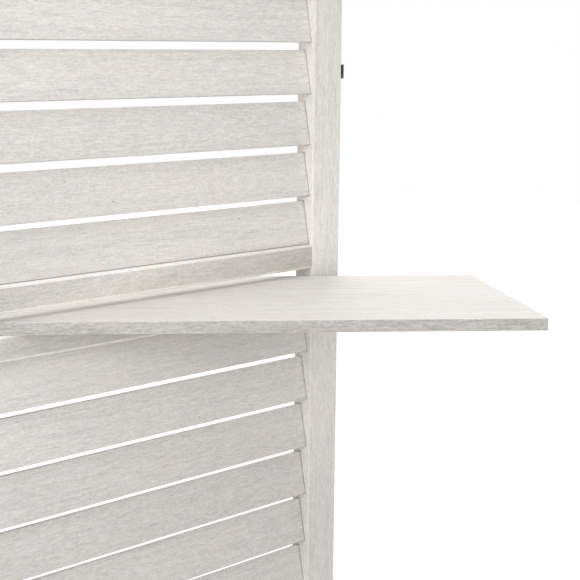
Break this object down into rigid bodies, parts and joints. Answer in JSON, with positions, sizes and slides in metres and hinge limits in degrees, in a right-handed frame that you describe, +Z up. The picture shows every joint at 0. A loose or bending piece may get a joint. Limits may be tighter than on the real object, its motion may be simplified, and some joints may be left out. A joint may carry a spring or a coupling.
{
  "type": "folding screen with shelves",
  "caption": "Folding room screen of hinged louvred wooden panels with level boards lying in slots through them.",
  "frame": {"origin": "centre of the box's footprint, on the floor under the glides", "axes": "+Z up, +X to the right along the shelves as seen from the front, +Y towards the back"},
  "size_m": [1.2982, 0.3492, 1.7],
  "materials": {
    "stile_wood": "whitewashed, matt, fine grain upright on the stiles and along the slats",
    "rail_wood": "whitewashed, matt, grain along the rail, a little of the brown wood showing",
    "shelf_wood": "whitewashed, smooth, grain along the board",
    "hinge_steel": "black, satin",
    "glide_plastic": "pale grey-brown, matt"
  },
  "bodies": {
    "panel_1": {"panel_1_left_stile_with_slats": "stile_wood", "panel_1_right_stile": "stile_wood", "panel_1_bottom_rail": "rail_wood", "panel_1_slot_sill_1": "rail_wood", "panel_1_slot_sill_2": "rail_wood", "panel_1_slot_sill_3": "rail_wood", "panel_1_slot_head_1": "rail_wood", "panel_1_slot_head_2": "rail_wood", "panel_1_slot_head_3": "rail_wood", "panel_1_top_rail": "rail_wood", "panel_1_left_glide": "glide_plastic", "panel_1_right_glide": "glide_plastic", "far_hinge_1_tongue_leaf": "hinge_steel", "far_hinge_2_tongue_leaf": "hinge_steel", "far_hinge_3_tongue_leaf": "hinge_steel"},
    "panel_2": {"panel_2_left_stile_with_slats": "stile_wood", "panel_2_right_stile": "stile_wood", "panel_2_bottom_rail": "rail_wood", "panel_2_slot_sill_1": "rail_wood", "panel_2_slot_sill_2": "rail_wood", "panel_2_slot_sill_3": "rail_wood", "panel_2_slot_head_1": "rail_wood", "panel_2_slot_head_2": "rail_wood", "panel_2_slot_head_3": "rail_wood", "panel_2_top_rail": "rail_wood", "panel_2_left_glide": "glide_plastic", "panel_2_right_glide": "glide_plastic", "far_hinge_1_fork_leaf": "hinge_steel", "far_hinge_2_fork_leaf": "hinge_steel", "far_hinge_3_fork_leaf": "hinge_steel", "far_hinge_1_pin": "hinge_steel", "far_hinge_2_pin": "hinge_steel", "far_hinge_3_pin": "hinge_steel", "near_hinge_1_tongue_leaf": "hinge_steel", "near_hinge_2_tongue_leaf": "hinge_steel", "near_hinge_3_tongue_leaf": "hinge_steel"},
    "panel_3": {"panel_3_left_stile_with_slats": "stile_wood", "panel_3_right_stile": "stile_wood", "panel_3_bottom_rail": "rail_wood", "panel_3_slot_sill_1": "rail_wood", "panel_3_slot_sill_2": "rail_wood", "panel_3_slot_sill_3": "rail_wood", "panel_3_slot_head_1": "rail_wood", "panel_3_slot_head_2": "rail_wood", "panel_3_slot_head_3": "rail_wood", "panel_3_top_rail": "rail_wood", "panel_3_left_glide": "glide_plastic", "panel_3_right_glide": "glide_plastic", "near_hinge_1_fork_leaf": "hinge_steel", "near_hinge_2_fork_leaf": "hinge_steel", "near_hinge_3_fork_leaf": "hinge_steel", "near_hinge_1_pin": "hinge_steel", "near_hinge_2_pin": "hinge_steel", "near_hinge_3_pin": "hinge_steel", "end_hinge_1_tongue_leaf": "hinge_steel", "end_hinge_2_tongue_leaf": "hinge_steel", "end_hinge_3_tongue_leaf": "hinge_steel"},
    "shelf_1": {"shelf_1": "shelf_wood"},
    "shelf_2": {"shelf_2": "shelf_wood"},
    "shelf_3": {"shelf_3": "shelf_wood"}
  },
  "joints": [
    {"name": "far_fold", "type": "hinge", "parent": "panel_2", "child": "panel_1", "pos_m": [-0.25759, 0.16059, 0], "axis": [0, 0, 1], "range_deg": [-83, 96.5]},
    {"name": "near_fold", "type": "hinge", "parent": "panel_2", "child": "panel_3", "pos_m": [0.1355, -0.16059, 0], "axis": [0, 0, 1], "range_deg": [0, 96.5]},
    {"name": "shelf_1_draw", "type": "slide", "parent": "panel_2", "child": "shelf_1", "axis": [1, 0, 0], "range_m": [0, 0.73]},
    {"name": "shelf_2_draw", "type": "slide", "parent": "panel_2", "child": "shelf_2", "axis": [1, 0, 0], "range_m": [0, 0.73]},
    {"name": "shelf_3_draw", "type": "slide", "parent": "panel_2", "child": "shelf_3", "axis": [1, 0, 0], "range_m": [0, 0.73]}
  ]
}
